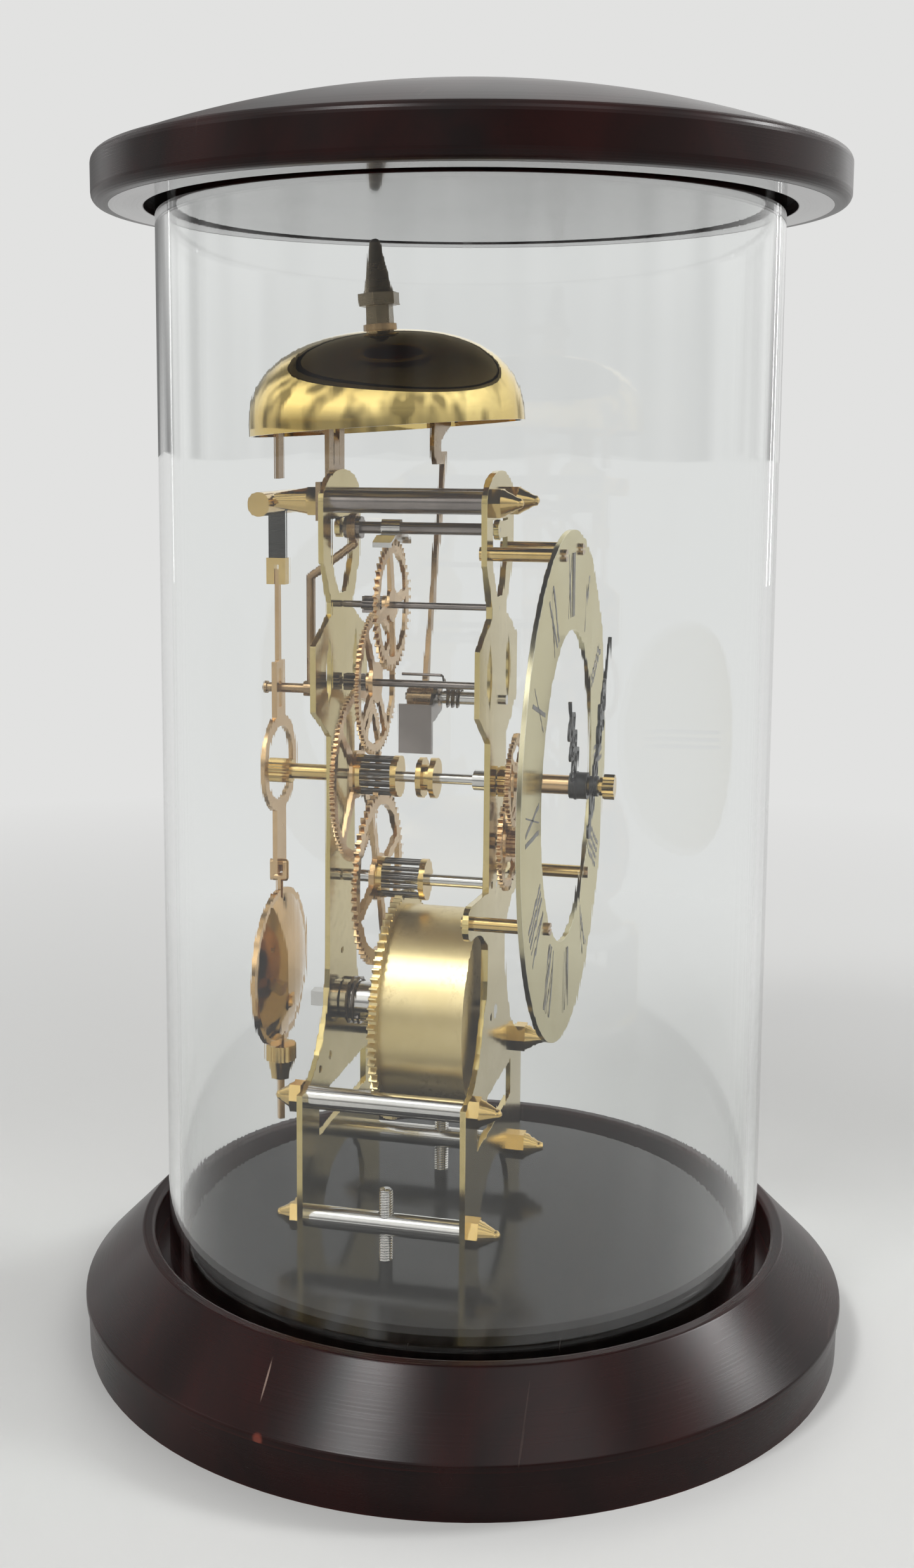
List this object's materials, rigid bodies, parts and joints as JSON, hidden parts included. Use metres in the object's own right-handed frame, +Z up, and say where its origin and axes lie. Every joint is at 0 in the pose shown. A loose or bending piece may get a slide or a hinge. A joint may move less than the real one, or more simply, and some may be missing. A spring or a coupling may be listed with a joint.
{
  "type": "skeleton clock in a glass jar",
  "caption": "Skeleton clock under a straight glass jar with a turned wood base and lift-off lid: brass plates, gear train, pendulum, bell and hammer behind a ring dial.",
  "frame": {"origin": "middle of the underside of the base", "axes": "+Z up the jar; the dial faces -Y; +X is to the right of someone facing the dial"},
  "size_m": [0.205, 0.205, 0.3273],
  "materials": {
    "wood": "gloss lacquer",
    "floor": "satin black lacquer",
    "glass": "clear",
    "plate_brass": "polished",
    "steel": "turned",
    "dark_steel": "satin",
    "turned_brass": "turned",
    "bronze": "aged",
    "bell_brass": "mirror polish",
    "barrel_brass": "polished",
    "wheel_brass": "satin",
    "rose_brass": "polished",
    "black": "satin black",
    "dial": "silvered satin"
  },
  "bodies": {
    "base": {"base_moulding": "wood", "floor_board": "floor", "back_plate": "plate_brass", "front_plate": "plate_brass", "lower_pillars": "steel", "middle_pillars": "steel", "top_pillars": "dark_steel", "front_pillar_nuts": "turned_brass", "rear_pillar_nuts": "turned_brass", "base_studs": "steel", "stud_washers": "steel", "stud_nuts": "steel", "bell": "bell_brass", "bell_stand": "bronze", "bell_washer": "bronze", "bell_finial": "bronze", "hammer_post": "steel", "hammer_spring": "dark_steel", "wrap_spring": "dark_steel", "suspension_bar": "turned_brass", "minute_post": "steel", "dial_ring": "dial", "dial_pillars": "turned_brass", "dial_screws": "bronze"},
    "glass": {"glass_cylinder": "glass"},
    "lid": {"lid": "wood"},
    "barrel": {"barrel_drum": "barrel_brass", "barrel_wheel": "barrel_brass", "barrel_cover": "barrel_brass"},
    "winding": {"winding_arbor": "steel", "mainspring": "dark_steel"},
    "second": {"second_arbor": "steel", "second_wheel": "wheel_brass", "second_pinion": "turned_brass"},
    "centre": {"centre_arbor": "steel", "centre_wheel": "wheel_brass", "centre_pinion": "turned_brass", "lift_cam": "turned_brass", "setting_knob": "turned_brass", "cannon_pinion": "turned_brass", "minute_hand": "black", "hand_nut": "turned_brass"},
    "third": {"third_arbor": "dark_steel", "third_wheel": "wheel_brass"},
    "escape": {"escape_arbor": "dark_steel", "escape_wheel": "wheel_brass"},
    "minute": {"minute_wheel": "wheel_brass"},
    "hour": {"hour_wheel": "wheel_brass", "hour_hand": "black"},
    "anchor": {"anchor_arbor": "dark_steel", "pallets": "steel", "crutch": "bronze"},
    "pendulum": {"suspension_spring": "dark_steel", "spring_block": "turned_brass", "pendulum_strip": "wheel_brass", "bob_rod": "wheel_brass"},
    "bob": {"pendulum_bob": "rose_brass"},
    "rating": {"rating_nut": "turned_brass"},
    "hammer": {"hammer_arm": "bronze", "hammer_lever": "dark_steel"}
  },
  "joints": [
    {"name": "glass_lift", "type": "slide", "parent": "base", "child": "glass", "axis": [0, 0, 1], "range_m": [0, 0.3]},
    {"name": "lid_lift", "type": "slide", "parent": "glass", "child": "lid", "axis": [0, 0, 1], "range_m": [0, 0.1]},
    {"name": "centre_spin", "type": "hinge", "parent": "base", "child": "centre", "pos_m": [0, 0, 0.1503], "axis": [0, 1, 0], "continuous": true},
    {"name": "barrel_spin", "type": "hinge", "parent": "base", "child": "barrel", "pos_m": [0, 0, 0.0871], "axis": [0, 1, 0], "continuous": true},
    {"name": "second_spin", "type": "hinge", "parent": "base", "child": "second", "pos_m": [0, 0, 0.1223], "axis": [0, 1, 0], "continuous": true},
    {"name": "third_spin", "type": "hinge", "parent": "base", "child": "third", "pos_m": [0, 0, 0.17555], "axis": [0, 1, 0], "continuous": true},
    {"name": "escape_spin", "type": "hinge", "parent": "base", "child": "escape", "pos_m": [0, 0, 0.19655], "axis": [0, 1, 0], "continuous": true},
    {"name": "minute_spin", "type": "hinge", "parent": "base", "child": "minute", "pos_m": [0, 0, 0.1341], "axis": [0, 1, 0], "continuous": true},
    {"name": "hour_spin", "type": "hinge", "parent": "base", "child": "hour", "pos_m": [0, 0, 0.1503], "axis": [0, 1, 0], "continuous": true},
    {"name": "winding_turn", "type": "hinge", "parent": "base", "child": "winding", "pos_m": [0, 0, 0.0871], "axis": [0, 1, 0], "continuous": true},
    {"name": "pendulum_swing", "type": "hinge", "parent": "base", "child": "pendulum", "pos_m": [0, 0.05255, 0.217], "axis": [0, 1, 0], "range_deg": [-4, 4]},
    {"name": "anchor_rock", "type": "hinge", "parent": "base", "child": "anchor", "pos_m": [0, 0, 0.217], "axis": [0, 1, 0], "range_deg": [-4, 4]},
    {"name": "bob_slide", "type": "slide", "parent": "pendulum", "child": "bob", "axis": [0, 0, 1], "range_m": [-0.001, 0.001]},
    {"name": "rating_turn", "type": "hinge", "parent": "bob", "child": "rating", "pos_m": [0, 0.05255, 0.07], "axis": [0, 0, 1], "range_deg": [-720, 720]},
    {"name": "hammer_swing", "type": "hinge", "parent": "base", "child": "hammer", "pos_m": [0.005, 0, 0.17155], "axis": [0, 1, 0], "range_deg": [-5, 0], "stiffness_Nm_per_rad": 0.02, "springref_deg": 11.46}
  ],
  "couplings": [
    {"joint": "barrel_spin", "follows": "centre_spin", "ratio": 0.032668},
    {"joint": "second_spin", "follows": "centre_spin", "ratio": -0.2069},
    {"joint": "third_spin", "follows": "centre_spin", "ratio": -11.625},
    {"joint": "escape_spin", "follows": "centre_spin", "ratio": 110.44},
    {"joint": "minute_spin", "follows": "centre_spin", "ratio": -0.28571},
    {"joint": "hour_spin", "follows": "centre_spin", "ratio": 0.083333},
    {"joint": "anchor_rock", "follows": "pendulum_swing", "ratio": 1},
    {"joint": "rating_turn", "follows": "bob_slide", "rad_per_m": 12566}
  ]
}
